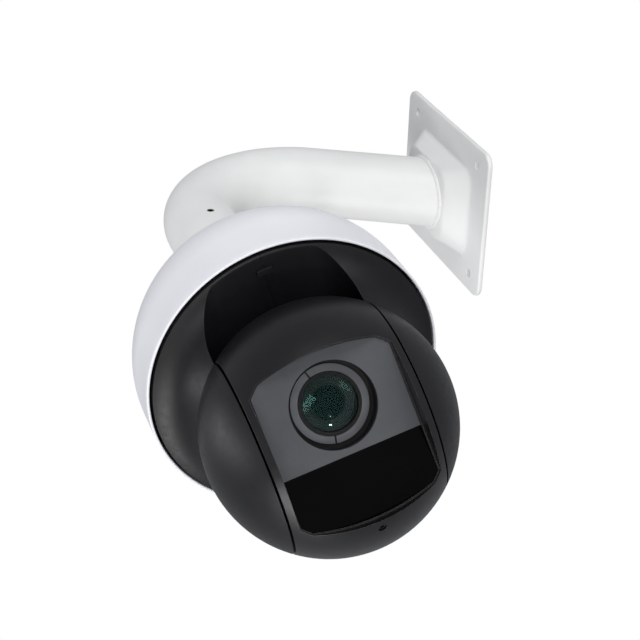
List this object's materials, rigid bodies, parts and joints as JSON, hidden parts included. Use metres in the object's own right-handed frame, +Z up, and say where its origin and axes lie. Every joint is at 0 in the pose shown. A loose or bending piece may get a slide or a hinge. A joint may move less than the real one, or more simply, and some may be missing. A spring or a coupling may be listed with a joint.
{
  "type": "ptz camera",
  "caption": "Pan-tilt-zoom security camera on a gooseneck wall bracket: white domed cover over a black turning housing that holds a tilting ball module with a deep-set zoom lens.",
  "frame": {"origin": "centre of the four-hole pattern, on the wall plate's back face", "axes": "+X out of the wall plate's back, towards the wall; +Z up; the camera hangs on the -X side"},
  "size_m": [0.288, 0.183, 0.4291],
  "materials": {
    "bracket_powder_coat": "fine satin powder coat, warm white",
    "cover_white": "satin moulded shell, cool white",
    "housing_black": "satin, finely grained",
    "shell_black": "satin painted",
    "panel_grey": "fine matt texture",
    "window_black": "polished, dark infrared-passing",
    "lens_black": "matt black",
    "ring_grey": "satin grey",
    "lens_glass": "coated optical glass",
    "machined_aluminium": "turned, satin",
    "die_cast_aluminium": "as cast, matt",
    "steel": "plain",
    "black_steel": "black oxide",
    "brass": "turned",
    "nylon": "natural moulded",
    "rubber": "matt",
    "motor_paint": "satin",
    "circuit_board": "solder mask",
    "filter_glass": "polished"
  },
  "bodies": {
    "fixed": {"wall_plate": "bracket_powder_coat", "bracket_arm": "bracket_powder_coat", "arm_set_screws": "black_steel", "sun_cover": "cover_white", "neck_seal": "rubber", "lock_ring": "machined_aluminium", "mount_neck": "machined_aluminium", "top_housing": "die_cast_aluminium", "base_chassis": "die_cast_aluminium", "housing_screws": "steel", "main_board": "circuit_board", "power_board": "circuit_board", "board_standoffs": "brass", "pan_motor": "motor_paint", "pan_bearing_outer": "steel", "slip_ring_stator": "lens_black", "slip_ring_stand": "steel"},
    "pan": {"pan_bearing_inner": "steel", "pan_hub": "machined_aluminium", "hub_nut": "brass", "pan_gear": "nylon", "pan_plate": "steel", "pan_screws": "steel", "slip_ring_rotor": "lens_black", "yoke_left": "housing_black", "yoke_right": "housing_black", "roof_clip": "housing_black", "arm_plate_left": "housing_black", "arm_plate_right": "housing_black", "tilt_bush_left": "brass", "tilt_bush_right": "brass", "tilt_motor": "motor_paint"},
    "pan_pinion": {"pan_pinion": "brass"},
    "tilt_pinion": {"tilt_pinion": "brass"},
    "tilt": {"front_shell": "shell_black", "rear_shell": "shell_black", "shell_screws": "black_steel", "lens_panel": "panel_grey", "ir_window": "window_black", "face_carrier": "lens_black", "ir_board": "circuit_board", "ir_lenses": "lens_glass", "lens_shroud": "lens_black", "lens_ring": "ring_grey", "lens_barrel": "lens_black", "lens_retainer": "lens_black", "front_lens": "lens_glass", "lens_hood": "lens_black", "camera_block": "lens_black", "sensor_board": "circuit_board", "module_chassis": "die_cast_aluminium", "tilt_shaft_left": "steel", "tilt_shaft_right": "steel", "tilt_gear": "nylon"},
    "zoom_group": {"zoom_carrier": "lens_black", "zoom_lens": "lens_glass"},
    "focus_group": {"focus_carrier": "lens_black", "focus_lens": "lens_glass"},
    "filter": {"ir_cut_filter": "filter_glass"}
  },
  "joints": [
    {"name": "pan", "type": "hinge", "parent": "fixed", "child": "pan", "pos_m": [-0.1965, 0, -0.27625], "axis": [0, 0, 1], "continuous": true},
    {"name": "pan_pinion_spin", "type": "hinge", "parent": "fixed", "child": "pan_pinion", "pos_m": [-0.1485, 0, -0.19024], "axis": [0, 0, 1], "continuous": true},
    {"name": "tilt", "type": "hinge", "parent": "pan", "child": "tilt", "pos_m": [-0.1965, 0, -0.27625], "axis": [0.9641, -0.2656, 0], "range_deg": [-76, 29]},
    {"name": "tilt_pinion_spin", "type": "hinge", "parent": "pan", "child": "tilt_pinion", "pos_m": [-0.12992, 0.00448, -0.27625], "axis": [0.9641, -0.2656, 0], "range_deg": [-80, 205]},
    {"name": "zoom", "type": "slide", "parent": "tilt", "child": "zoom_group", "axis": [0.1287, 0.4674, 0.8746], "range_m": [0, 0.014]},
    {"name": "focus", "type": "slide", "parent": "tilt", "child": "focus_group", "axis": [0.1287, 0.4674, 0.8746], "range_m": [-0.004, 0.004]},
    {"name": "filter_shift", "type": "slide", "parent": "tilt", "child": "filter", "axis": [0.9641, -0.2656, 0], "range_m": [0, 0.01]}
  ],
  "couplings": [
    {"joint": "pan_pinion_spin", "follows": "pan", "ratio": -5},
    {"joint": "tilt_pinion_spin", "follows": "tilt", "ratio": -2.6667}
  ]
}
